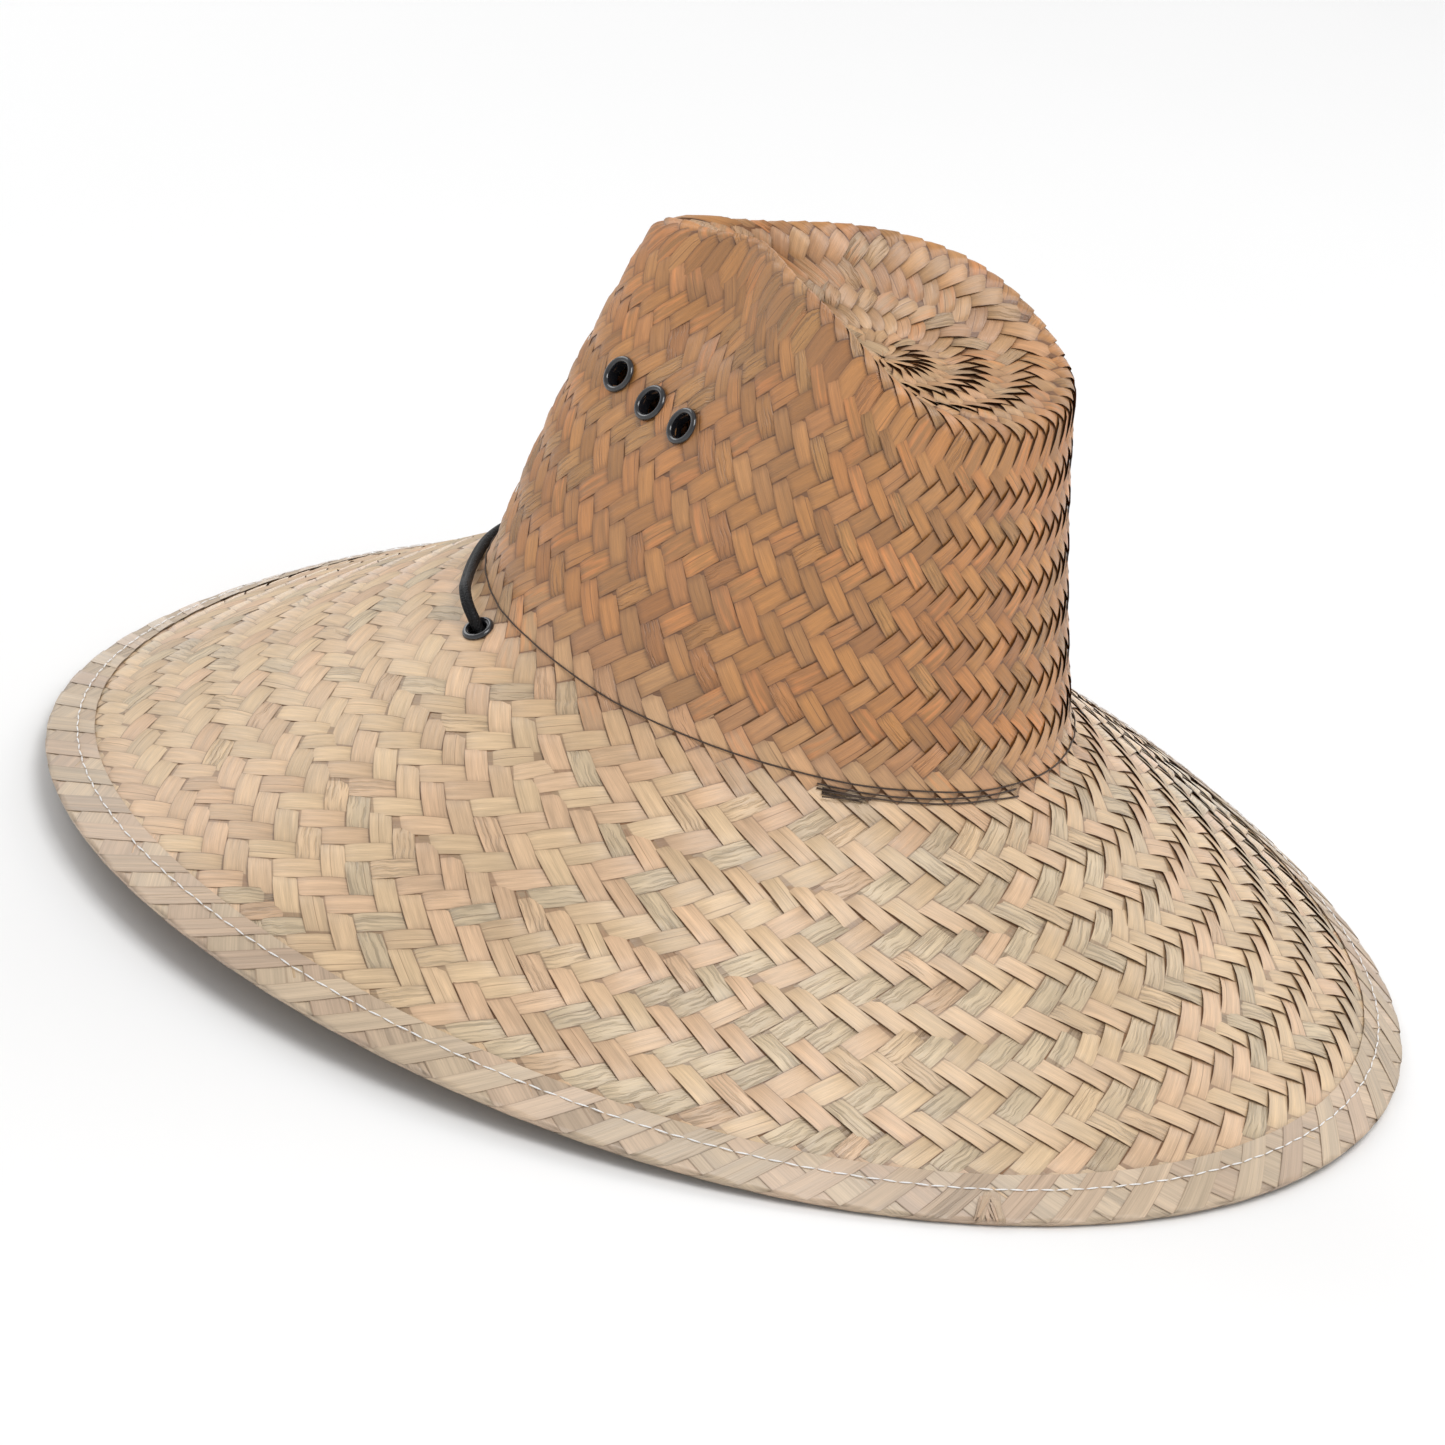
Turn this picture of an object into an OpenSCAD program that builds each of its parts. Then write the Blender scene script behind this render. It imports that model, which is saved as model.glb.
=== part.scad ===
// Wide-brimmed palm-leaf straw hat with a pinched teardrop crown, vent eyelets,
// a sweatband and an adjustable chin cord. It stands upright on its brim.
// Front is -Y, the wearer's left is +X, and z = 0 is the surface it stands on.

/* [Crown] */
// Half the head opening's outer length, front to back
head_length = 104; // [98:1:110]
// Half the head opening's outer width, side to side
head_width = 88; // [83:1:93]
// Height of the crown's crest above the head opening, on average
crown_height = 133; // [115:1:145]
// Half the length of the crest, front to back
crest_length = 74.5; // [68:0.5:78]
// Depth of the pinch on each side of the crown
pinch_depth = 9; // [4:0.5:12]
// Height of the bottom of the top's hollow above the head opening
hollow_height = 112; // [100:1:118]
// Backward lean of the crown, degrees
crown_tilt = 2.5; // [0:0.5:5]

/* [Brim] */
// Half the brim's length, front to back
brim_length = 238; // [200:1:250]
// Half the brim's width, side to side
brim_width = 213; // [180:1:225]
// Height of the head opening above the brim's edge
base_height = 82.6; // [60:0.2:100]
// How far the brim's edge waves up at the sides
brim_wave = 16; // [0:1:22]
// Width of the folded band that binds the edge
hem_width = 15; // [10:1:20]

/* [Weave] */
// Thickness of the two layers of leaf
leaf_thickness = 1.6; // [1.2:0.1:2.4]

/* [Sweatband] */
// Height of the band
band_height = 32; // [25:1:40]
// Thickness of the band
band_thickness = 1.8; // [1.2:0.1:2.4]

/* [Eyelets] */
// Radius of a vent eyelet's hole
vent_hole_r = 4.2; // [3:0.1:4.6]
// Radius of a vent eyelet's domed ring
vent_ring_r = 6.4; // [5.8:0.1:6.8]
// Radius of a cord eyelet's hole
cord_hole_r = 3; // [2.6:0.1:3.2]
// Radius of a cord eyelet's domed ring
cord_ring_r = 5.5; // [5:0.1:5.8]

/* [Chin cord] */
// Diameter of the braided cord
cord_d = 4; // [3:0.1:4.2]
// Travel of the cord lock's button
button_travel = 2.5; // [1.5:0.1:2.8]

/* [Hidden] */

// Gap between neighbouring soft pieces
gap = 0.3;
// Angles round the hat at which the shells have a section
turn_step = 5;
turns = [0:turn_step:359];
// Places up the crown: 0 at the head opening, 1 at the crest, 2 at the hollow's middle
wall_places = [0, 0.12, 0.24, 0.36, 0.48, 0.58, 0.68, 0.76, 0.84, 0.9];
fold_start = 0.94;
fold_end = 1.16;
fold_places = [0.94, 0.985, 1.03, 1.07, 1.11, 1.16];
hollow_places = [1.26, 1.4, 1.55, 1.7, 1.85];
crown_places = concat(wall_places, fold_places, hollow_places);
// Middle of the hollow, front to back
hollow_y = 10;
// Places across the brim: 0 at the head opening, 1 at the edge
brim_places = [0.004, 0.06, 0.15, 0.3, 0.45, 0.6, 0.75, 0.88, 0.985];
hem_start = 1 - hem_width / (brim_length - head_length);
hem_cover = 0.8;
hem_half = leaf_thickness / 2 + hem_cover;
thread_r = 0.4;
band_low = 0.012;
band_high = band_low + band_height / crown_height;

// Eyelets: angle round the hat and place on the crown or brim
vent_turns = [45.5, 60, 72.5];
vent_places = [0.6, 0.578, 0.58];
cord_turn = 49;
cord_place = 0.052;
washer_t = 0.6;
barrel_wall = 0.5;
// How far an eyelet's shank reaches inside the weave before it is rolled over
shank_reach = 2.4;

// Cord lock: it stands on the surface and slides along both tails of the cord
lock_r = 8;
lock_h = 16;
lock_floor = 0.8;
lock_lift = 0.2;
lock_bore_r = 5.8;
lock_clearance = 0.08;
cord_gap = 0.3;
tail_x = cord_d / 2 + cord_gap / 2;
slot_half = cord_d / 2 + 0.25;
spring_solid = 1.2;
button_floor = 1;
tail_z = lock_lift + lock_floor + spring_solid + button_travel + button_floor + slot_half;
button_proud = 3.5;
knot_r = 6;
knot_y = 58;

function unit(v) = v / norm(v);
function bell(x, middle, width) = exp(-pow((x - middle) / width, 2));
function signed(x, t) = t > 180 ? -x : x;
function half_turn(t) = t > 180 ? 360 - t : t;

// A point given from the head opening's middle, leaned back and lifted into place
function seated(p) = [
    p[0],
    p[1] * cos(crown_tilt) + p[2] * sin(crown_tilt),
    -p[1] * sin(crown_tilt) + p[2] * cos(crown_tilt) + base_height];

// Head opening and crest, at t degrees from the front
function opening_at(t) = [head_width * sin(t), -head_length * cos(t), 0];
function crest_at(t) =
    let (reach = 39 - 36 * cos(t) - 6 * bell(t, 60, 16),
        rise = 10 * cos(t) - 7.5 * cos(2 * t) - 2.5 * cos(3 * t)
            - 5 * bell(t, 45, 20) + 4.5 * bell(t, 105, 22))
    [reach * sin(t), -3.5 - crest_length * cos(t), crown_height + rise];
function wall_at(t, s) =
    let (out = unit([head_length * sin(t), -head_width * cos(t), 0]),
        bulge = (1 + 3.5 * cos(t)) * 4 * s * (1 - s),
        dent = pinch_depth * bell(t, 62, 16) * bell(s, 0.8, 0.16))
    opening_at(t) * (1 - s) + crest_at(t) * s + out * (bulge - dent);
function hollow_at(t, u) =
    let (c = crest_at(t), flat = c * (1 - u) + [0, hollow_y, 0] * u)
    [flat[0], flat[1], hollow_height + (c[2] - hollow_height) * pow(1 - u, 2.2)];
function fold_at(t, s) =
    let (w = (s - fold_start) / (fold_end - fold_start))
    wall_at(t, fold_start) * pow(1 - w, 2) + crest_at(t) * 2 * w * (1 - w)
        + hollow_at(t, fold_end - 1) * pow(w, 2);
function half_crown(t, s) =
    s < fold_start ? wall_at(t, s) : s > fold_end ? hollow_at(t, s - 1) : fold_at(t, s);
function crown_mid(t, s) =
    let (a = (t + 360) % 360, p = half_crown(half_turn(a), s))
    seated([signed(p[0], a), p[1], p[2]]);
function crown_out(t, s) = unit(cross(
    crown_mid(t + 0.5, s) - crown_mid(t - 0.5, s),
    crown_mid(t, s + 0.01) - crown_mid(t, s - 0.01)));
function crown_at(t, s, off) = crown_mid(t, s) + crown_out(t, s) * off;

// Brim's edge and the surface between it and the head opening
function edge_at(t) =
    let (round_off = 1 + 0.02 * (cos(t) - cos(3 * t)),
        wave = brim_wave * (1 - cos(t)) * pow(cos(t) + 0.77, 2))
    [brim_width * sin(t) * round_off, -brim_length * cos(t) * round_off, wave];
function brim_mid(t, r) =
    let (a = seated(opening_at(t)), b = edge_at(t), flat = a * (1 - r) + b * r)
    [flat[0], flat[1], a[2] + (b[2] - a[2]) * pow(r, 0.96)];
function brim_out(t, r) = unit(cross(
    brim_mid(t, r + 0.005) - brim_mid(t, max(r - 0.005, 0)),
    brim_mid(t + 0.5, r) - brim_mid(t - 0.5, r)));
function brim_at(t, r, off) = brim_mid(t, r) + brim_out(t, r) * off;

// Lift that brings the lowest point of the bound edge to z = 0
stand = -min([for (t = turns) brim_at(t, 1, -hem_half)[2]]);

function grid(rows, cols) = [for (i = [0:rows - 1], j = [0:cols - 1]) [i, j]];

// A closed ring of sections, each with the same number of points
module ring_of(sections) {
    n = len(sections);
    k = len(sections[0]);
    polyhedron(
        points = [for (s = sections) each s],
        faces = [for (g = grid(n, k))
            let (a = g[0] * k, b = ((g[0] + 1) % n) * k, j = g[1], m = (g[1] + 1) % k)
            each [[a + j, b + m, a + m], [a + j, b + j, b + m]]]);
}

// A tube through a list of rings, closed at both ends
module tube_of(rings) {
    n = len(rings);
    k = len(rings[0]);
    polyhedron(
        points = [for (r = rings) each r],
        faces = concat(
            [for (g = grid(n - 1, k))
                let (a = g[0] * k, b = a + k, j = g[1], m = (g[1] + 1) % k)
                each [[a + j, a + m, b + m], [a + j, b + m, b + j]]],
            [[for (j = [k - 1:-1:0]) j]],
            [[for (j = [0:k - 1]) (n - 1) * k + j]]));
}

// Frames carried along a line of points without twisting
function heading(pts, i) = unit(pts[min(i + 1, len(pts) - 1)] - pts[max(i - 1, 0)]);
function square_to(v, h) = unit(v - h * (v * h));
function sides_along(pts, i, last) =
    i >= len(pts) ? [] :
    let (s = square_to(last, heading(pts, i))) concat([s], sides_along(pts, i + 1, s));
function tube_rings(pts, r, k, first) =
    let (sides = sides_along(pts, 0, first))
    [for (i = [0:len(pts) - 1])
        let (h = heading(pts, i), u = sides[i], v = cross(h, u))
        [for (j = [0:k - 1]) pts[i] + r * (cos(-j * 360 / k) * u + sin(-j * 360 / k) * v)]];

module at_surface(p, out) {
    translate(p + [0, 0, stand])
        rotate([0, acos(out[2]), atan2(out[1], out[0])])
        children();
}
module on_crown(t, s) { at_surface(crown_mid(t, s), crown_out(t, s)) children(); }
module on_brim(t, r) { at_surface(brim_mid(t, r), brim_out(t, r)) children(); }
module on_floor() { translate([0, 0, stand]) children(); }

module crown_shell() {
    rows = len(crown_places);
    cols = len([for (t = turns) t]);
    half = leaf_thickness / 2;
    top = seated([0, hollow_y, hollow_height]);
    inner = rows * cols;
    apex = 2 * rows * cols;
    polyhedron(
        points = concat(
            [for (s = crown_places, t = turns) crown_at(t, s, half)],
            [for (s = crown_places, t = turns) crown_at(t, s, -half)],
            [top + [0, 0, half], top - [0, 0, half]]),
        faces = concat(
            [for (g = grid(rows - 1, cols))
                let (a = g[0] * cols, b = a + cols, j = g[1], m = (g[1] + 1) % cols)
                each [[a + j, b + m, a + m], [a + j, b + j, b + m],
                    [inner + a + j, inner + a + m, inner + b + m],
                    [inner + a + j, inner + b + m, inner + b + j]]],
            [for (j = [0:cols - 1])
                let (a = (rows - 1) * cols, m = (j + 1) % cols)
                each [[a + j, apex, a + m], [inner + a + j, inner + a + m, apex + 1],
                    [j, m, inner + m], [j, inner + m, inner + j]]]));
}

module crown() {
    color("peru")
        difference() {
            on_floor() crown_shell();
            for (side = [1, -1], i = [0:2])
                on_crown(side * vent_turns[i], vent_places[i])
                cylinder(r = vent_hole_r + barrel_wall + gap, h = 10, center = true, $fn = 48);
        }
}

module brim() {
    half = leaf_thickness / 2;
    color("burlywood")
        difference() {
            on_floor() ring_of([for (t = turns) concat(
                [for (r = brim_places) brim_at(t, r, half)],
                [for (j = [len(brim_places) - 1:-1:0]) brim_at(t, brim_places[j], -half)])]);
            for (side = [1, -1])
                on_brim(side * cord_turn, cord_place)
                cylinder(r = cord_hole_r + barrel_wall + gap, h = 10, center = true, $fn = 48);
        }
}

// Leaf band folded over the brim's edge: over it, round it and back under it
module brim_hem() {
    inside = leaf_thickness / 2 + 0.1;
    tip = 0.992;
    color("wheat")
        on_floor() ring_of([for (t = turns) [
            brim_at(t, hem_start, inside), brim_at(t, hem_start, hem_half),
            brim_at(t, tip, hem_half), brim_at(t, 1, hem_half - 0.5),
            brim_at(t, 1, -hem_half + 0.5), brim_at(t, tip, -hem_half),
            brim_at(t, hem_start, -hem_half), brim_at(t, hem_start, -inside),
            brim_at(t, tip, -inside), brim_at(t, tip, inside)]]);
}

// Line of white thread along the hem, a third of its width from the inner edge
module hem_stitching() {
    line_r = hem_start + (1 - hem_start) / 3;
    sides = 6;
    color("white")
        on_floor() ring_of([for (t = turns) [for (j = [0:sides - 1])
            brim_at(t, line_r + thread_r * sin(j * 60) / 134,
                hem_half + thread_r * 1.1 + thread_r * cos(j * 60))]]);
}

module sweatband() {
    outside = leaf_thickness / 2 + gap;
    places = [band_low, (band_low + band_high) / 2, band_high];
    color("dimgray")
        on_floor() ring_of([for (t = turns) concat(
            [for (s = [places[2], places[1], places[0]]) crown_at(t, s, -outside)],
            [for (s = places) crown_at(t, s, -outside - band_thickness)])]);
}

// Dark thread that holds the sweatband, seen outside along the foot of the crown
module sweatband_stitching() {
    sides = 6;
    place = 0.02;
    color("black")
        on_floor() ring_of([for (t = turns) [for (j = [0:sides - 1])
            crown_at(t, place + thread_r * sin(j * 60) / crown_height,
                leaf_thickness / 2 + thread_r * 1.3 - thread_r * cos(j * 60))]]);
}

// Ends of the dark thread, tied off behind the wearer's left side
module thread_knot() {
    color("black")
        at_surface(brim_mid(128, 0.05), brim_out(128, 0.05))
        translate([0, 0, leaf_thickness / 2 + 1.2])
        sphere(r = 1, $fn = 24);
}

// Domed metal ring and its shank, rolled over a washer on the far side
module eyelet(hole_r, ring_r) {
    half = leaf_thickness / 2;
    shank_r = hole_r + barrel_wall;
    dome_r = (ring_r - hole_r) / 2;
    seat = half + 0.25;
    color("black") rotate_extrude($fn = 48) {
        translate([hole_r + dome_r, seat])
            intersection() {
                circle(r = dome_r, $fn = 32);
                translate([-dome_r, 0]) square([2 * dome_r, dome_r]);
            }
        translate([hole_r, -shank_reach]) square([barrel_wall, shank_reach + seat + 0.1]);
        translate([hole_r, -shank_reach - barrel_wall])
            square([barrel_wall + 1.1, barrel_wall]);
    }
}

module washer(hole_r, ring_r) {
    inner_r = hole_r + barrel_wall + 0.15;
    color("silver")
        translate([0, 0, -shank_reach + 0.05])
        rotate_extrude($fn = 48)
        translate([inner_r, 0])
        square([ring_r - 0.6 - inner_r, washer_t]);
}

module vent_eyelet(side, i) {
    on_crown(side * vent_turns[i], vent_places[i]) eyelet(vent_hole_r, vent_ring_r);
}
module vent_washer(side, i) {
    on_crown(side * vent_turns[i], vent_places[i]) washer(vent_hole_r, vent_ring_r + 0.4);
}
module cord_eyelet(side) {
    on_brim(side * cord_turn, cord_place) eyelet(cord_hole_r, cord_ring_r);
}
module cord_washer(side) {
    on_brim(side * cord_turn, cord_place) washer(cord_hole_r, cord_ring_r + 0.4);
}

// Cord's route out of the left eyelet and round the crown's foot, as far as the middle
front_route = [[71.4, -73.1, 82.6], [72.6, -75.3, 86.7], [71.9, -78.8, 90], [69.2, -82, 91.9],
    [65.4, -84.8, 92.2], [61, -87.3, 91.5], [56, -90, 90.5], [50, -93.2, 89.6], [43, -96.7, 89],
    [35, -100.2, 88.8], [24, -104.5, 88.8], [12, -107.5, 88.8], [0, -108.5, 88.8]];
// Cord's route from the left eyelet down to the surface, through the lock and to the knot
tail_route = [[71.4, -73.1, 82.6], [70.2, -72.3, 80.2], [69.2, -71.6, 77.7], [68.6, -71.2, 75],
    [68.3, -71, 71.5], [68.2, -71, 64], [68.2, -71, 52], [68.3, -71, 40], [68.6, -70.8, 26],
    [68.8, -69, 13], [66.8, -62.6, 4.4], [62.5, -54, 2.2], [56, -46, 2.2], [46, -41.6, 2.2],
    [33, -43.6, 2.2], [20, -48, 2.4], [9, -46, 4.4], [3, -37, 7.2], [tail_x, -27, tail_z],
    [tail_x, -18, tail_z], [tail_x, -9, tail_z], [tail_x, 10, tail_z], [tail_x, 34, tail_z],
    [tail_x, knot_y - 4, tail_z]];

module cord_tube(pts, first) {
    color("black") tube_of(tube_rings(pts, cord_d / 2, 8, first));
}

function mirrored(p) = [-p[0], p[1], p[2]];

// The cord passes up through both cord eyelets and lies round the front of the crown
module chin_cord_front() {
    half = len(front_route);
    whole = concat(front_route, [for (i = [half - 2:-1:0]) mirrored(front_route[i])]);
    cord_tube(whole, [1, 0, 0]);
}
module chin_cord_tail(side) {
    own = side > 0 ? tail_route : [for (p = tail_route) mirrored(p)];
    cord_tube(own, [1, 0, 0]);
}

module cord_end_knot() {
    color("black")
        translate([0, knot_y, knot_r + lock_lift])
        sphere(r = knot_r, $fn = 32);
}

// Flat hole with round corners, front to back, that both tails run through
module slot(low, high) {
    long = 4 * lock_r;
    for (x = [-tail_x, tail_x], z = [low + slot_half, high - slot_half])
        translate([x, 0, z])
        rotate([90, 0, 0])
        cylinder(r = slot_half, h = long, center = true, $fn = 32);
    translate([-tail_x, -long / 2, low]) cube([2 * tail_x, long, high - low]);
    if (high - low > 2 * slot_half)
        translate([-tail_x - slot_half, -long / 2, low + slot_half])
        cube([2 * (tail_x + slot_half), long, high - low - 2 * slot_half]);
}

module cord_lock_barrel() {
    edge = 1.5;
    color("dimgray") difference() {
        translate([0, 0, lock_lift]) rotate_extrude($fn = 64) {
            square([lock_r - edge, lock_h]);
            translate([0, edge]) square([lock_r, lock_h - 2 * edge]);
            for (z = [edge, lock_h - edge]) translate([lock_r - edge, z]) circle(r = edge, $fn = 32);
        }
        translate([0, 0, lock_lift + lock_floor]) cylinder(r = lock_bore_r, h = lock_h, $fn = 64);
        slot(tail_z - slot_half, tail_z + slot_half);
    }
}

module cord_lock_button() {
    low = tail_z - slot_half - button_floor;
    high = lock_lift + lock_h + button_proud;
    r = lock_bore_r - lock_clearance;
    edge = 1.2;
    color("black") difference() {
        rotate_extrude($fn = 64) {
            translate([0, low]) square([r, high - low - edge]);
            translate([0, low]) square([r - edge, high - low]);
            translate([r - edge, high - edge]) circle(r = edge, $fn = 32);
        }
        slot(tail_z - slot_half, tail_z + slot_half + button_travel);
    }
}

module cord_lock_spring() {
    wire_r = 0.3;
    coil_r = 4;
    coils = 4;
    low = lock_lift + lock_floor + wire_r + 0.02;
    high = tail_z - slot_half - button_floor - wire_r - 0.02;
    steps = coils * 16;
    line = [for (i = [0:steps])
        [coil_r * cos(i * 22.5), coil_r * sin(i * 22.5), low + (high - low) * i / steps]];
    color("silver") tube_of(tube_rings(line, wire_r, 6, [1, 0, 0]));
}

crown();
brim();
brim_hem();
hem_stitching();
sweatband();
sweatband_stitching();
thread_knot();
vent_eyelet(1, 0);  // vent_eyelet_left_1
vent_eyelet(1, 1);  // vent_eyelet_left_2
vent_eyelet(1, 2);  // vent_eyelet_left_3
vent_eyelet(-1, 0);  // vent_eyelet_right_1
vent_eyelet(-1, 1);  // vent_eyelet_right_2
vent_eyelet(-1, 2);  // vent_eyelet_right_3
vent_washer(1, 0);  // vent_washer_left_1
vent_washer(1, 1);  // vent_washer_left_2
vent_washer(1, 2);  // vent_washer_left_3
vent_washer(-1, 0);  // vent_washer_right_1
vent_washer(-1, 1);  // vent_washer_right_2
vent_washer(-1, 2);  // vent_washer_right_3
cord_eyelet(1);  // cord_eyelet_left
cord_eyelet(-1);  // cord_eyelet_right
cord_washer(1);  // cord_washer_left
cord_washer(-1);  // cord_washer_right
chin_cord_front();
chin_cord_tail(1);  // chin_cord_left
chin_cord_tail(-1);  // chin_cord_right
cord_end_knot();
cord_lock_barrel();
cord_lock_spring();
cord_lock_button();
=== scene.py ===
import math

import bmesh
import bpy
import numpy as np
from mathutils import Matrix, Vector


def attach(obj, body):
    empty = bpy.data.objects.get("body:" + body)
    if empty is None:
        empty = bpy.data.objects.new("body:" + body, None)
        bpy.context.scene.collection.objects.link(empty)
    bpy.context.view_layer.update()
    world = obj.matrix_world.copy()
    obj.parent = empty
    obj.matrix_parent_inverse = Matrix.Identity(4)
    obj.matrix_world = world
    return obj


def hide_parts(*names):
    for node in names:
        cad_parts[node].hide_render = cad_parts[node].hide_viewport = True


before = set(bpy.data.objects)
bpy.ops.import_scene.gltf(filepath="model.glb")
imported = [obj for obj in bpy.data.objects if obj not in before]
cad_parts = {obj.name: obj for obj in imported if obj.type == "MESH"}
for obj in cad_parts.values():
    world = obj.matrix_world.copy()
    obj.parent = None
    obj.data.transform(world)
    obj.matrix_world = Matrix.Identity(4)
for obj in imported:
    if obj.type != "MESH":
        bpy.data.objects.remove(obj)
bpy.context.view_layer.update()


# ---------------------------------------------------------------- Camera, floor and lights
# A long lens looks down a little from behind the wearer's left shoulder, rolled a few degrees.
# The hat stands on a pale sheet under three large soft boxes and a white surround.
view_azimuth, view_elevation, view_roll = 116.18, 25.33, 11.82
view_distance, view_lens = 1.62, 119.6
look_at = Vector((0, -0.0145, 0.0502))



def direction(azimuth, elevation):
    """Unit vector towards an azimuth, counted from the front to the wearer's left, and a height."""
    turn, rise = math.radians(azimuth), math.radians(elevation)
    return Vector((math.sin(turn) * math.cos(rise), -math.cos(turn) * math.cos(rise),
                   math.sin(rise)))


back = direction(view_azimuth, view_elevation)
turn, roll = math.radians(view_azimuth), math.radians(view_roll)
right = Vector((math.cos(turn), math.sin(turn), 0))
up = back.cross(right)
across = math.cos(roll) * right + math.sin(roll) * up
upright = math.cos(roll) * up - math.sin(roll) * right
camera = bpy.data.objects.new("camera", bpy.data.cameras.new("camera"))
camera.data.lens = view_lens
camera.data.clip_end = 50
camera.matrix_world = Matrix.Translation(look_at + back * view_distance) @ Matrix(
    (across, upright, back)).transposed().to_4x4()
bpy.context.scene.collection.objects.link(camera)
bpy.context.scene.camera = camera


def node(tree, kind, props=None, **sockets):
    """A shader node with its properties and its sockets set; an underscore stands for a space."""
    made = tree.nodes.new(kind)
    for key, value in (props or {}).items():
        setattr(made, key, value)
    for key, value in sockets.items():
        place = int(key[1:]) if key[0] == "n" and key[1:].isdigit() else key.replace("_", " ")
        if isinstance(value, bpy.types.NodeSocket):
            tree.links.new(value, made.inputs[place])
        else:
            made.inputs[place].default_value = value
    return made


def mixed(tree, factor, first, second, how="MIX"):
    """Two colours mixed."""
    made = node(tree, "ShaderNodeMix", {"data_type": "RGBA", "blend_type": how},
                n0=factor, n6=first, n7=second)
    return made.outputs[2]


def new_material(name, **principled):
    """A material with one Principled shader, whose constants are set on its own sockets."""
    material = bpy.data.materials.new(name)
    material.use_nodes = True
    tree = material.node_tree
    shader = tree.nodes["Principled BSDF"]
    for key, value in principled.items():
        shader.inputs[key.replace("_", " ")].default_value = value
    return material, tree, shader


floor_size = 9.0
floor_material, tree, shader = new_material("pale_floor", Roughness=0.8)
grain = node(tree, "ShaderNodeTexNoise", Scale=30.0)
shade = mixed(tree, grain.outputs[0], (0.90, 0.90, 0.90, 1), (0.92, 0.92, 0.92, 1))
tree.links.new(shade, shader.inputs["Base Color"])
bm = bmesh.new()
bmesh.ops.create_grid(bm, x_segments=1, y_segments=1, size=floor_size / 2)
floor = bpy.data.objects.new("floor", bpy.data.meshes.new("floor"))
bm.to_mesh(floor.data)
bm.free()
floor.data.materials.append(floor_material)
bpy.context.scene.collection.objects.link(floor)

# The surround is brightest level with the hat and fades upwards.
level_glow, high_glow, fade_height = 0.95, 0.55, 0.7
world = bpy.data.worlds.new("surround")
world.use_nodes = True
height = node(world.node_tree, "ShaderNodeSeparateXYZ",
              Vector=node(world.node_tree, "ShaderNodeTexCoord").outputs["Generated"]).outputs[2]
glow = node(world.node_tree, "ShaderNodeMapRange", n0=height, n1=0.0, n2=fade_height,
            n3=level_glow, n4=high_glow)
world.node_tree.links.new(glow.outputs[0], world.node_tree.nodes["Background"].inputs[1])
world.node_tree.nodes["Background"].inputs[0].default_value = (1, 1, 1, 1)
bpy.context.scene.world = world
bpy.context.scene.view_settings.view_transform = "Standard"


box_distance, box_size = 2.4, 1.2


def soft_box(name, azimuth, elevation, power):
    """A square area light aimed at the hat."""
    away = direction(azimuth, elevation)
    light = bpy.data.objects.new(name, bpy.data.lights.new(name, "AREA"))
    light.data.size = box_size
    light.data.energy = power
    light.location = look_at + away * box_distance
    light.rotation_euler = away.to_track_quat("Z", "Y").to_euler()
    bpy.context.scene.collection.objects.link(light)


soft_box("key_light", 150, 66, 26)
soft_box("left_light", 346, 34, 10)
soft_box("right_light", 246, 34, 8)


# ---------------------------------------------------------------- Chin cord
# One round braided polyester cord, 4 mm thick and limp: it lies round the front of the crown and
# goes down through an eyelet on each side. Both tails hang to the surface, run back through the
# cord lock under the hat and end together in one knot.
# Routes are in millimetres on the wearer's left and are mirrored for the right.
cord_r, cord_sides = 0.002, 20
front_crease, crease_spread = 0.42, 0.45
front_route = [(71.4, -73.1, 82.6), (72.6, -75.3, 86.7), (71.9, -78.8, 90), (69.2, -82, 91.9),
               (65.4, -84.8, 92.2), (61, -87.3, 91.5), (56, -90, 90.5), (50, -93.2, 89.6),
               (43, -96.7, 89), (35, -100.2, 88.8), (24, -104.5, 88.8), (12, -107.5, 88.8),
               (0, -108.5, 88.8)]
tail_route = [(71.4, -73.1, 82.6), (70.2, -72.3, 80.2), (69.2, -71.6, 77.7), (68.6, -71.2, 75),
              (68.3, -71, 71.5), (68.2, -71, 64), (68.2, -71, 52), (68.3, -71, 40),
              (68.6, -70.8, 26), (68.8, -69, 13), (66.8, -62.6, 4.4), (62.5, -54, 2.2),
              (56, -46, 2.2), (46, -41.6, 2.2), (33, -43.6, 2.2), (20, -48, 2.4), (9, -46, 4.4),
              (3, -37, 7.2), (2.15, -27, 7.95), (2.15, -18, 7.95), (2.15, -9, 7.95),
              (2.15, 10, 7.95), (2.15, 34, 7.95), (2.15, 54, 7.95)]


def in_metres(route, side=1):
    """A route in metres, mirrored to the right with side -1."""
    return [Vector((side * x, y, z)) / 1000 for x, y, z in route]


def smoothed(points, rounds=3):
    """The line with its corners cut again and again, and its two ends kept."""
    for _ in range(rounds):
        cut = [points[0]]
        for p, q in zip(points, points[1:]):
            cut += [p.lerp(q, 0.25), p.lerp(q, 0.75)]
        points = cut + [points[-1]]
    return points


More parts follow.
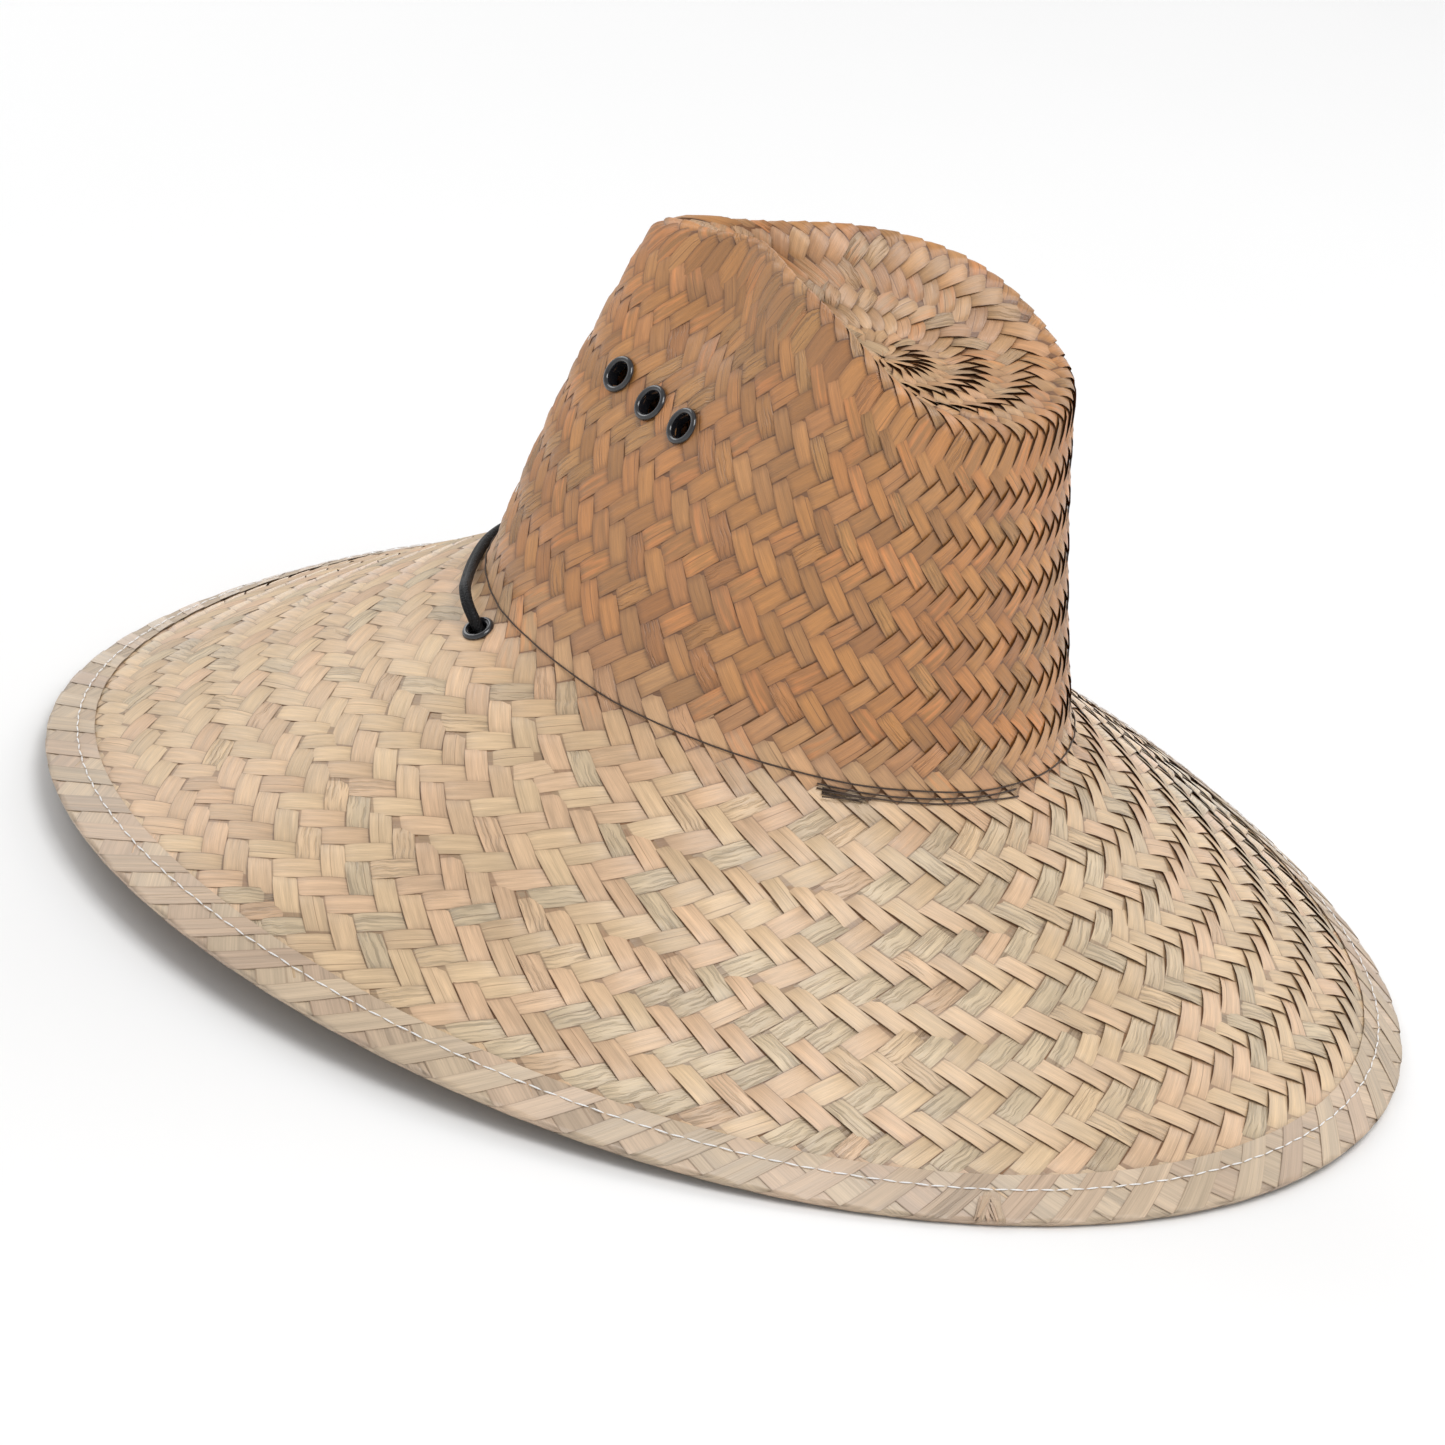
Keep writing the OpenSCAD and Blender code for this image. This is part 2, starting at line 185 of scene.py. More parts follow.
def swept(bm, centres, radius, sides, crease=0.0):
    """A closed tube along centres; with crease, a groove that faces up and away from the hat."""
    headings = [(centres[min(i + 1, len(centres) - 1)] - centres[max(i - 1, 0)]).normalized()
                for i in range(len(centres))]
    side = headings[0].orthogonal()
    last, loop = None, []
    for centre, heading in zip(centres, headings):
        if crease:
            side = Vector((centre.x, centre.y, 0)).normalized() + Vector((0, 0, 1))
        side = (side - heading * side.dot(heading)).normalized()
        matrix = Matrix((side, heading.cross(side), heading)).transposed().to_4x4()
        matrix.translation = centre
        if last is None:
            first = bmesh.ops.create_circle(bm, radius=radius, segments=sides)["verts"]
            for v in first:
                if crease:
                    off = math.atan2(v.co.y, v.co.x) / crease_spread
                    v.co *= 1 - crease * math.exp(-off ** 2)
            loop = list(dict.fromkeys(edge for v in first for edge in v.link_edges))
            bmesh.ops.transform(bm, matrix=matrix, verts=first)
            bmesh.ops.edgeloop_fill(bm, edges=loop)
        else:
            made = bmesh.ops.extrude_edge_only(bm, edges=loop)["geom"]
            loop = [g for g in made if isinstance(g, bmesh.types.BMEdge)
                    and not any(v in old for v in g.verts)]
            verts = list(dict.fromkeys(v for edge in loop for v in edge.verts))
            bmesh.ops.transform(bm, matrix=matrix @ last.inverted(), verts=verts)
        last = matrix
        old = {v for edge in loop for v in edge.verts}
    bmesh.ops.edgeloop_fill(bm, edges=loop)


def piece(name, bm, material):
    """A finished, smooth-shaded object from a bmesh."""
    mesh = bpy.data.meshes.new(name)
    bm.to_mesh(mesh)
    bm.free()
    mesh.materials.append(material)
    for polygon in mesh.polygons:
        polygon.use_smooth = True
    made = bpy.data.objects.new(name, mesh)
    bpy.context.scene.collection.objects.link(made)
    return made


braid, tree, shader = new_material("black_braid", Roughness=0.5, Specular_IOR_Level=0.25)
place = node(tree, "ShaderNodeTexCoord")
plaits = node(tree, "ShaderNodeTexVoronoi", Vector=place.outputs["Object"], Scale=1500.0)
fuzz = node(tree, "ShaderNodeTexNoise", Vector=place.outputs["Object"], Scale=400.0, Detail=3.0)
tree.links.new(mixed(tree, fuzz.outputs[0], (0.003, 0.003, 0.004, 1), (0.010, 0.010, 0.011, 1)),
               shader.inputs["Base Color"])
bump = node(tree, "ShaderNodeBump", Strength=0.8, Distance=0.0004, Height=plaits.outputs[0])
tree.links.new(bump.outputs[0], shader.inputs["Normal"])


def cord_piece(name, centres, crease):
    """One run of the cord as a visible piece that stands for its CAD node."""
    bm = bmesh.new()
    swept(bm, centres, cord_r, cord_sides, crease)
    bmesh.ops.recalc_face_normals(bm, faces=bm.faces)
    made = piece(name + "_braid", bm, braid)
    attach(made, "hat")
    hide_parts(name)
    return made


# The knot: both tails tied together in one tight overhand knot, 12 mm across.
knot_centre = Vector((0, 0.058, 0.0062))
knot_size, knot_spread, knot_depth = 0.0019, 0.68, 0.95
knot_steps, knot_sides = 72, 10
knot_line = []
for i in range(knot_steps + 1):
    t = math.radians(i * 360 / knot_steps)
    knot_line.append(knot_centre + Vector((
        (math.sin(t) + 2 * math.sin(2 * t)) * knot_size * knot_spread,
        (math.cos(t) - 2 * math.cos(2 * t)) * knot_size * knot_spread,
        -math.sin(3 * t) * knot_size * knot_depth)))
bm = bmesh.new()
swept(bm, knot_line, cord_r, knot_sides)
bmesh.ops.recalc_face_normals(bm, faces=bm.faces)
knot = piece("cord_end_knot_tied", bm, braid)
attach(knot, "hat")
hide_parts("cord_end_knot")

whole_front = in_metres(front_route) + in_metres(front_route, -1)[-2::-1]
front_line = smoothed(whole_front)
front = cord_piece("chin_cord_front", front_line, front_crease)


for name, side in (("chin_cord_left", 1), ("chin_cord_right", -1)):
    tail_line = smoothed(in_metres(tail_route, side))
    tail = cord_piece(name, tail_line, 0.0)


# ---------------------------------------------------------------- Crown and brim
# The hat is woven in one piece from split palm leaf, each strip 6 to 8 mm wide: it goes over two
# strips and under two, on the bias, so rows of slanted leaves run round the crown and the brim.
# The same weave shows inside. Strips are added as the brim widens and dropped towards the crest.
# Sizes are in millimetres, turns in degrees from the front, and places up the hat are shares.
head_length, head_width = 104, 88
crown_height, crest_length = 133, 74.5
hollow_height, hollow_y = 112, 10
pinch_depth, crown_tilt = 9, 2.5
fold_start, fold_end = 0.94, 1.16
brim_length, brim_width = 238, 213
brim_wave, base_height, stand = 16, 82.6, 1.363
foot_round = 0.045
hem_width = 15
hem_start = 1 - hem_width / (brim_length - head_length)
leaf_pitch = 9.4
leaf_lift = 0.66
leaf_tuck = 1.4
leaf_dome = 0.09
leaf_shingle = 0.34
vent_turns = (45.5, 60, 72.5)
vent_places = (0.6, 0.578, 0.58)
cord_turn, cord_place = 49, 0.052


def stacked(*parts):
    return np.stack(np.broadcast_arrays(*parts), -1)


def bell(x, middle, width):
    return np.exp(-(((x - middle) / width) ** 2))


def seated(p):
    """Leans the crown back and lifts it to its height."""
    c, s = math.cos(math.radians(crown_tilt)), math.sin(math.radians(crown_tilt))
    return stacked(p[..., 0], p[..., 1] * c + p[..., 2] * s,
                   p[..., 2] * c - p[..., 1] * s + base_height + stand)


def crown_mid(t, s):
    """Middle of the crown's weave: s is 0 at the foot, 1 at the crest, 2 in the hollow's middle."""
    t = t % 360
    side = np.where(t > 180, -1, 1)
    t = np.where(t > 180, 360 - t, t)
    sin, cos = np.sin(np.radians(t)), np.cos(np.radians(t))
    reach = 39 - 36 * cos - 6 * bell(t, 60, 16)
    rise = (10 * cos - 7.5 * np.cos(np.radians(2 * t)) - 2.5 * np.cos(np.radians(3 * t))
            - 5 * bell(t, 45, 20) + 4.5 * bell(t, 105, 22))
    crest = stacked(reach * sin, -3.5 - crest_length * cos, crown_height + rise)
    opening = stacked(head_width * sin, -head_length * cos, 0 * t)
    out = stacked(head_length * sin, -head_width * cos, 0 * t)
    out /= np.linalg.norm(out, axis=-1, keepdims=True)

    def wall(s):
        bulge = (1 + 3.5 * cos) * 4 * s * (1 - s)
        dent = pinch_depth * bell(t, 62, 16) * bell(s, 0.8, 0.16)
        return opening * (1 - s)[..., None] + crest * s[..., None] + out * (bulge - dent)[..., None]

    def hollow(u):
        flat = crest * (1 - u)[..., None]
        return stacked(flat[..., 0], flat[..., 1] + hollow_y * u,
                       hollow_height + (crest[..., 2] - hollow_height) * (1 - u) ** 2.2)

    start = fold_start - 0.05 * bell(t, 0, 35) + 0 * s
    end = fold_end + 0.12 * bell(t, 0, 35) + 0 * s
    w = np.clip((s - start) / (end - start), 0, 1)[..., None]
    fold = wall(start) * (1 - w) ** 2 + crest * 2 * w * (1 - w) + hollow(end - 1) * w ** 2
    made = np.where((s < start)[..., None], wall(np.minimum(s, 1)),
                    np.where((s > end)[..., None], hollow(np.clip(s - 1, 0, 1)), fold))
    made[..., 0] *= side
    return seated(made)


def brim_mid(t, r):
    """Middle of the brim's weave: r is 0 at the crown's foot and 1 at the edge."""
    sin, cos = np.sin(np.radians(t)), np.cos(np.radians(t))
    inner = seated(stacked(head_width * sin, -head_length * cos, 0 * t))
    rounder = 1 + 0.02 * (cos - np.cos(np.radians(3 * t)))
    outer_z = brim_wave * (1 - cos) * (cos + 0.77) ** 2 + stand
    return stacked(inner[..., 0] * (1 - r) + brim_width * sin * rounder * r,
                   inner[..., 1] * (1 - r) - brim_length * cos * rounder * r,
                   inner[..., 2] + (outer_z - inner[..., 2]) * np.maximum(r, 0) ** 0.96)


def hat_mid(t, w):
    """The whole woven surface: w runs from -1 at the brim's edge over 0 at the foot to 2."""
    f = np.clip((w + foot_round) / (2 * foot_round), 0, 1)[..., None]
    near = np.full_like(w, foot_round)
    foot = (brim_mid(t, near) * (1 - f) ** 2 + brim_mid(t, 0 * w) * 2 * f * (1 - f)
            + crown_mid(t, near) * f ** 2)
    return np.where((w < -foot_round)[..., None], brim_mid(t, np.maximum(-w, 0)),
                    np.where((w > foot_round)[..., None], crown_mid(t, np.maximum(w, 0)), foot))


near_turn, near_place = 0.4, 0.004
hollow_middle = 1.985


def hat_place(t, w, lift):
    """Points on the woven surface, lifted off its middle, in metres."""
    t, w = np.asarray(t, float), np.minimum(np.asarray(w, float), hollow_middle)
    out = np.cross(hat_mid(t + near_turn, w) - hat_mid(t - near_turn, w),
                   hat_mid(t, w + near_place) - hat_mid(t, w - near_place))
    out /= np.linalg.norm(out, axis=-1, keepdims=True)
    return (hat_mid(t, w) + out * np.asarray(lift, float)[..., None]) / 1000


def even_rows(low, high, pitch):
    """Places of rows a pitch apart, by the mean length of the lines that run up the hat."""
    fine = np.linspace(low, high, 400)
    round_it = np.arange(0, 360, 10.0)
    lines = hat_mid(round_it[:, None] + 0 * fine, fine[None, :] + 0 * round_it[:, None])
    steps = np.linalg.norm(np.diff(lines, axis=1), axis=-1).mean(axis=0)
    along = np.concatenate([[0], np.cumsum(steps)])
    count = round(along[-1] / pitch)
    return np.interp((np.arange(count) + 0.5) * along[-1] / count, along, fine)


def leaf_widths(turns):
    """The share of the round, in degrees, that each leaf of a row takes up."""
    after, before = np.append(turns[1:], turns[0] + 360), np.append(turns[-1] - 360, turns[:-1])
    return (after - before) / 2


too_far, too_close = 1.38, 0.66


def spaced_leaves(turns, w, pitch):
    """The last row's leaves half a step on, with one added or dropped where they fit badly."""
    last = np.arange(len(turns)) == len(turns) - 1
    turns = (turns + np.roll(turns, -1) + np.where(last, 360, 0)) / 2

    def gaps():
        spots = hat_mid(turns, np.full_like(turns, w))
        return np.linalg.norm(np.roll(spots, -1, axis=0) - spots, axis=1)

    def evened(strength):
        """Each leaf pulled towards the wider of the gaps beside it."""
        far = gaps()
        pull = strength * (far - np.roll(far, 1)) / (far + np.roll(far, 1))
        return turns + pull * leaf_widths(turns)

    for _ in range(60):
        far = gaps()
        after = np.append(turns[1:], turns[0] + 360)
        if far.max() > too_far * pitch:
            k = int(far.argmax())
            turns = np.insert(turns, k + 1, (turns[k] + after[k]) / 2)
        elif far.min() < too_close * pitch:
            turns = np.delete(turns, int(far.argmin()))
        else:
            break
        for _ in range(2):
            turns = evened(0.25)
    for _ in range(3):
        turns = evened(0.2)
    return turns


first_leaves, same_strip = 64, 0.93


def weave_rows(rows, pitch_at, chance):
    """One entry for each leaf that shows: its turn, row, widths, slant and its strip's look."""
    leaves, before, turns = [], [], None
    for number, w in enumerate(rows):
        pitch = pitch_at(w)
        if turns is None:
            turns = np.arange(first_leaves) * 360 / first_leaves
        turns = spaced_leaves(turns, w, pitch)
        near = rows[number + 1] if number + 1 < len(rows) else rows[number - 1]
        height = abs(near - w)
        slant = 1 if number % 2 else -1
        row = []
        for t, d in zip(turns, leaf_widths(turns)):
            strip = (chance.random(), chance.random())
            if len(before) > 1 and chance.random() < same_strip:
                behind = slant * 2 * d * (1 if rows[-1] > rows[0] else -1)
                strip = min(before[-2],
                            key=lambda leaf: abs((leaf[0] - t + behind + 180) % 360 - 180))[5]
            row.append((t % 360, w, d, height, slant, strip))
        before.append(row)
        leaves += row
    return leaves


leaf_segments, leaf_sides = 8, 2
backing_round, backing_up = 144, 64
weld = 2e-5
hole_reach, hole_core = 0.02, 0.78
toast_places = (-0.16, -0.03, 0.02, 0.16, 1.0, 1.2, 2.0)
toast_levels = (0.0, 0.3, 0.6, 1.0, 1.0, 0.62, 0.4)


def toast_at(w):
    """How brown the leaf is: full on the crown, fading out over the first rows of the brim."""
    return float(np.interp(w, toast_places, toast_levels))


def woven(name, leaves, chance, backing_range, holes, materials):
    """Every leaf of the weave, outside and inside, as a small bent grid, with a thin dark inner
    layer of painted shade.

    The leaves inside an eyelet's hole are cleared and the ones at its edge are drawn back.
    """
    bm = bmesh.new()
    uv = bm.loops.layers.uv.new("leaf")
    tint_layer = bm.faces.layers.float.new("tint")
    seed_layer = bm.faces.layers.float.new("seed")
    toast_layer = bm.faces.layers.float.new("toast")
    sides = [(leaf, side) for side in (1, -1) for leaf in leaves]
    for leaf, side in sides:
        made = bmesh.ops.create_grid(bm, x_segments=leaf_segments, y_segments=leaf_sides, size=1,
                                     calc_uvs=True)
        seed = chance.random()
        for face in {f for v in made["verts"] for f in v.link_faces}:
            face[tint_layer] = leaf[5][0]
            face[seed_layer] = leaf[5][1] * 0.75 + seed * 0.25
            face[toast_layer] = toast_at(leaf[1]) + 0.12 * (seed - 0.5)
            face.smooth = True
    template = len(made["verts"])
    count = len(sides)
    bm.verts.ensure_lookup_table()
    grid = np.array([v.co[:2] for v in bm.verts])
    along, cross = grid[:, 0].reshape(count, template), grid[:, 1].reshape(count, template)
    each = [np.array([leaf[i] for leaf, _ in sides], float)[:, None] for i in range(5)]
    turn, w, width, height, slant = each
    side = np.array([s for _, s in sides], float)[:, None]
    slant = slant * side
    cross = cross * side
    inward = np.clip((w - 1.0) / 0.5, 0, 1)
    wide = 1.0 + 0.06 * (chance.random((count, 1)) - 0.5) + 0.3 * inward
    wide = wide * (1 - 0.45 * inward * along ** 2)
    skew = 0.06 * (chance.random((count, 2, 1)) - 0.5)
    reach = along * leaf_tuck
    x = reach * 0.5 * slant - cross * 0.25 * wide + skew[:, 0] * reach
    y = reach * 0.5 + cross * 0.25 * wide * slant + skew[:, 1] * reach
    dip = np.clip((np.abs(reach) - 0.45) / 0.63, 0, 1)
    tilt = (leaf_shingle * slant * (1 + 0.5 * inward)
            + 0.14 * (chance.random((count, 1)) - 0.5))
    tail = 0.06 + 0.05 * chance.random((count, 1))
    lift = (tail + (leaf_lift * (1 + 0.35 * inward) - tail) * (1 - dip * dip * (3 - 2 * dip))
            - leaf_dome * cross ** 2 + tilt * cross * slant * (1 - 0.8 * dip))
    up_the_hat = y * height
    placed = hat_place(turn + x * width, w + up_the_hat, np.maximum(lift, 0.03) * side)
    for v, p in zip(bm.verts, placed.reshape(-1, 3)):
        v.co = p
    # The inner layer along the weave's middle is a dark sheet of painted shade that shows through
    # the gaps.
    made = bmesh.ops.create_grid(bm, x_segments=backing_round, y_segments=backing_up, size=1,
                                 calc_uvs=True)
    low, high = backing_range
    flat = np.array([v.co[:2] for v in made["verts"]])
    placed = hat_place((flat[:, 0] + 1) * 180, low + (flat[:, 1] + 1) / 2 * (high - low),
                       0 * flat[:, 0])
    for v, p in zip(made["verts"], placed):
        v.co = p
    for face in {f for v in made["verts"] for f in v.link_faces}:
        face.material_index = 1
        face.smooth = True
    bmesh.ops.remove_doubles(bm, verts=made["verts"], dist=weld)
    for centre, axis, hole_r in holes:
        inside = []
        for face in bm.faces:
            arm = face.calc_center_median() - centre
            off = arm - axis * arm.dot(axis)
            if arm.length < hole_reach and off.length < hole_r * hole_core:
                inside.append(face)
        bmesh.ops.delete(bm, geom=inside, context="FACES")
        for v in bm.verts:
            arm = v.co - centre
            off = arm - axis * arm.dot(axis)
            if arm.length < hole_reach and off.length < hole_r:
                v.co += off * (hole_r / max(off.length, 1e-6) - 1)
    mesh = bpy.data.meshes.new(name)
    bm.to_mesh(mesh)
    bm.free()
    for material in materials:
        mesh.materials.append(material)
    made = bpy.data.objects.new(name, mesh)
    bpy.context.scene.collection.objects.link(made)
    return made


def maths(tree, operation, *values):
    """The result of a Math node on values or sockets."""
    return node(tree, "ShaderNodeMath", {"operation": operation},
                **{f"n{i}": v for i, v in enumerate(values)}).outputs[0]


def step(tree, value, low, high):
    """0 below low, 1 above high and smooth in between."""
    return node(tree, "ShaderNodeMapRange", {"interpolation_type": "SMOOTHSTEP"},
                n0=value, n1=low, n2=high).outputs[0]


def palm_leaf_group():
    """Grain, wrinkles, tint, and painted shade in the folds, along the edges and splits and at the
    tucked ends of one strip of leaf.
    """
    group = bpy.data.node_groups.new("palm leaf", "ShaderNodeTree")
    for name, kind in (("UV", "NodeSocketVector"), ("Tint", "NodeSocketFloat"),
                       ("Seed", "NodeSocketFloat"), ("Toast", "NodeSocketFloat"),
                       ("Edge Shade", "NodeSocketFloat"), ("End Shade", "NodeSocketFloat"),
                       ("Pale", "NodeSocketColor"), ("Warm", "NodeSocketColor"),
                       ("Grey", "NodeSocketColor"), ("Toasted", "NodeSocketColor"),
                       ("Edge", "NodeSocketColor")):
        group.interface.new_socket(name, in_out="INPUT", socket_type=kind)
    for name, kind in (("Color", "NodeSocketColor"), ("Roughness", "NodeSocketFloat"),
                       ("Height", "NodeSocketFloat")):
        group.interface.new_socket(name, in_out="OUTPUT", socket_type=kind)
    given = group.nodes.new("NodeGroupInput").outputs
    result = group.nodes.new("NodeGroupOutput").inputs
    parts = node(group, "ShaderNodeSeparateXYZ", Vector=given["UV"]).outputs
    seed, tint, toast = given["Seed"], given["Tint"], given["Toast"]

    def own(factor):
        """Another number between 0 and 1 for the same leaf."""
        return maths(group, "FRACT", maths(group, "MULTIPLY", seed, factor))

    def streaks(across, along, detail, bend=0.0):
        """Noise drawn out along the leaf; with bend, the streaks sway from side to side."""
        run = maths(group, "MULTIPLY_ADD", parts[0], along, maths(group, "MULTIPLY", seed, 37.0))
        wide = maths(group, "MULTIPLY", parts[1], across)
        if bend:
            place = maths(group, "MULTIPLY_ADD", parts[0], 2.2,
                          maths(group, "MULTIPLY", seed, 53.0))
            sway = node(group, "ShaderNodeTexNoise", {"noise_dimensions": "1D"}, W=place, Scale=1.0)
            wide = maths(group, "MULTIPLY_ADD", sway.outputs[0], bend, wide)
        spot = node(group, "ShaderNodeCombineXYZ", X=run, Y=wide,
                    Z=maths(group, "MULTIPLY", seed, 91.0))
        return node(group, "ShaderNodeTexNoise", Vector=spot.outputs[0], Scale=1.0,
                    Detail=detail).outputs[0]

    broad, fine = streaks(4.0, 1.1, 2.0), streaks(30.0, 2.0, 3.0)
    folds = streaks(9.0, 1.6, 1.5, 2.5)
    grey = step(group, tint, 0.83, 0.86)
    leaf = mixed(group, step(group, tint, 0.25, 0.75), given["Pale"], given["Warm"])
    leaf = mixed(group, maths(group, "MULTIPLY", grey, 0.7), leaf, given["Grey"])
    leaf = mixed(group, toast, leaf, mixed(group, 1.0, leaf, given["Toasted"], "MULTIPLY"))
    amber = maths(group, "MULTIPLY", step(group, own(7.3), 0.62, 0.95),
                  maths(group, "MULTIPLY", toast, step(group, broad, 0.42, 0.62)))
    leaf = mixed(group, maths(group, "MULTIPLY", amber, 0.7), leaf, leaf_amber)
    level = maths(group, "MULTIPLY_ADD", own(13.7),
                  maths(group, "MULTIPLY_ADD", toast, 0.22, 0.20), 0.90)
    level = maths(group, "MULTIPLY", level, maths(group, "MULTIPLY_ADD", broad, 0.70, 0.68))
    level = maths(group, "MULTIPLY", level, maths(group, "MULTIPLY_ADD", fine, 0.6, 0.72))
    # Creased leaves are darker along their folds: painted shade in the creases.
    creased = maths(group, "MAXIMUM", grey, step(group, own(3.1), 0.86, 0.9))
    wrinkle = maths(group, "MULTIPLY", creased, step(group, folds, 0.50, 0.66))
    level = maths(group, "MULTIPLY", level, maths(group, "MULTIPLY_ADD", wrinkle, -0.24, 1.0))
    shade = node(group, "ShaderNodeCombineXYZ", X=level, Y=level, Z=level).outputs[0]
    leaf = mixed(group, 1.0, leaf, shade, "MULTIPLY")
    # Painted shade: a thin dark line along each long edge where the strips meet, a broader
    # darkening towards the edges, a dark line along a split in some leaves, and darkening towards
    # the ends where each leaf tucks under the next. All of it is mixed towards the shadow brown.
    off_middle = maths(group, "ABSOLUTE", maths(group, "MULTIPLY_ADD", parts[1], 2.0, -1.0))
    off_centre = maths(group, "ABSOLUTE", maths(group, "MULTIPLY_ADD", parts[0], 2.0, -1.0))
    rim = maths(group, "MULTIPLY", step(group, off_middle, 0.91, 0.99),
                maths(group, "MULTIPLY_ADD", own(23.9), 0.8, 0.3))
    rim_shade_band = maths(group, "MULTIPLY", step(group, off_middle, 0.50, 1.0),
                     maths(group, "MULTIPLY_ADD", toast, 0.12, 0.10))
    tuck_shade_band = maths(group, "MULTIPLY", step(group, off_centre, 0.40, 0.76),
                     maths(group, "MULTIPLY_ADD", toast, 0.22, 0.22))
    end = maths(group, "MAXIMUM", tuck_shade_band,
                maths(group, "MULTIPLY", step(group, off_centre, 0.665, 0.72), 0.85))
    split = maths(group, "ABSOLUTE", maths(group, "SUBTRACT", parts[1], maths(
        group, "MULTIPLY_ADD", own(5.9), 0.5, 0.25)))
    split = maths(group, "MULTIPLY", step(group, split, 0.03, 0.012),
                  maths(group, "MULTIPLY", step(group, own(17.3), 0.80, 0.82), 0.6))
    dark = maths(group, "MAXIMUM", maths(group, "MAXIMUM", rim, rim_shade_band), split)
    dark = maths(group, "MAXIMUM", maths(group, "MULTIPLY", dark, given["Edge Shade"]),
                 maths(group, "MULTIPLY", end, given["End Shade"]))
    leaf = mixed(group, dark, leaf, given["Edge"])
    group.links.new(leaf, result["Color"])
    group.links.new(maths(group, "MULTIPLY_ADD", broad, 0.24, 0.30), result["Roughness"])
    ribs = maths(group, "MULTIPLY_ADD", wrinkle, -1.4,
                 maths(group, "MULTIPLY_ADD", broad, 1.2, maths(group, "MULTIPLY", fine, 0.35)))
    group.links.new(ribs, result["Height"])
    return group


leaf_pale, leaf_warm = (0.61, 0.44, 0.265, 1), (0.61, 0.41, 0.255, 1)
leaf_grey, leaf_toasted = (0.53, 0.44, 0.29, 1), (0.62, 0.385, 0.185, 1)
# The second colour on the next line is the dark brown of the painted shade at the leaves' edges,
# splits and tucked ends.
leaf_amber, leaf_shadow_brown = (0.52, 0.20, 0.06, 1), (0.12, 0.045, 0.015, 1)
palm_leaf = palm_leaf_group()


def leaf_material(name, edge_shade, end_shade, bump_strength, pale=leaf_pale, warm=leaf_warm):
    """Palm leaf, with its gloss drawn out across the grain."""
    material, tree, shader = new_material(name, IOR=1.55, Specular_IOR_Level=0.8, Anisotropic=0.85,
                                          Anisotropic_Rotation=0.25)
    tint, seed, toast = (node(tree, "ShaderNodeAttribute", {"attribute_name": a}).outputs["Fac"]
                         for a in ("tint", "seed", "toast"))
    uv = node(tree, "ShaderNodeUVMap", {"uv_map": "leaf"}).outputs[0]
    leaf = node(tree, "ShaderNodeGroup", {"node_tree": palm_leaf}, UV=uv, Tint=tint, Seed=seed,
                Toast=toast, Edge_Shade=edge_shade, End_Shade=end_shade, Pale=pale, Warm=warm,
                Grey=leaf_grey, Toasted=leaf_toasted, Edge=leaf_shadow_brown)
    tree.links.new(leaf.outputs["Color"], shader.inputs["Base Color"])
    tree.links.new(leaf.outputs["Roughness"], shader.inputs["Roughness"])
    bump = node(tree, "ShaderNodeBump", Strength=bump_strength, Distance=0.0006,
                Height=leaf.outputs["Height"])
    tree.links.new(bump.outputs[0], shader.inputs["Normal"])
    grain = node(tree, "ShaderNodeTangent", {"direction_type": "UV_MAP", "uv_map": "leaf"})
    tree.links.new(grain.outputs[0], shader.inputs["Tangent"])
    return material


def speckled(name, scale, dark, light, bump=0.0, **principled):
    """A material that varies finely between two colours, with a bump from the same noise."""
    material, tree, shader = new_material(name, **principled)
    spot = node(tree, "ShaderNodeTexCoord").outputs["Object"]
    noise = node(tree, "ShaderNodeTexNoise", Vector=spot, Scale=scale, Detail=2.0).outputs[0]
    tree.links.new(mixed(tree, noise, dark, light), shader.inputs["Base Color"])
    if bump:
        relief = node(tree, "ShaderNodeBump", Strength=bump, Distance=0.0002, Height=noise)
        tree.links.new(relief.outputs[0], shader.inputs["Normal"])
    return material


crown_leaf = leaf_material("crown_leaf", 0.95, 0.9, 0.5)
brim_leaf = leaf_material("brim_leaf", 0.75, 0.62, 0.5)
# The inner layer is a dark sheet of painted shade, seen only in the gaps between strips.
crown_gap_shade = speckled("crown_painted_gap_shade", 220.0, (0.13, 0.06, 0.025, 1), (0.22, 0.11, 0.05, 1),
                       Roughness=0.8)
brim_gap_shade = speckled("brim_painted_gap_shade", 220.0, (0.22, 0.11, 0.05, 1), (0.34, 0.19, 0.10, 1),
                      Roughness=0.8)


def hole_at(turn, w, radius):
    """Middle and axis of an eyelet's hole, for clearing the leaves from it."""
    t, w = np.array([float(turn)]), np.array([float(w)])
    middle = Vector(hat_place(t, w, np.array([0.0]))[0])
    above = Vector(hat_place(t, w, np.array([5.0]))[0])
    return middle, (above - middle).normalized(), radius


vent_hole_r, cord_hole_r = 0.0047, 0.0036
last_row = 1.97


def crown_pitch(w):
    """Pitch of the crown's leaves, which get narrower towards the hollow's middle."""
    return np.interp(w, [1.0, 1.25, 1.6, last_row], [leaf_pitch, 8.6, 6.2, 3.2])


vents = [hole_at(side * t, s, vent_hole_r)
         for side in (1, -1) for t, s in zip(vent_turns, vent_places)]
cord_holes = [hole_at(side * cord_turn, -cord_place, cord_hole_r) for side in (1, -1)]
chance = np.random.default_rng(7)
crown_rows = even_rows(0.0, last_row, leaf_pitch)
crown_leaves = weave_rows(crown_rows, crown_pitch, chance)
crown = woven("crown_weave", crown_leaves, chance, (0.0, hollow_middle), vents,
              [crown_leaf, crown_gap_shade])
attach(crown, "hat")
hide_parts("crown")

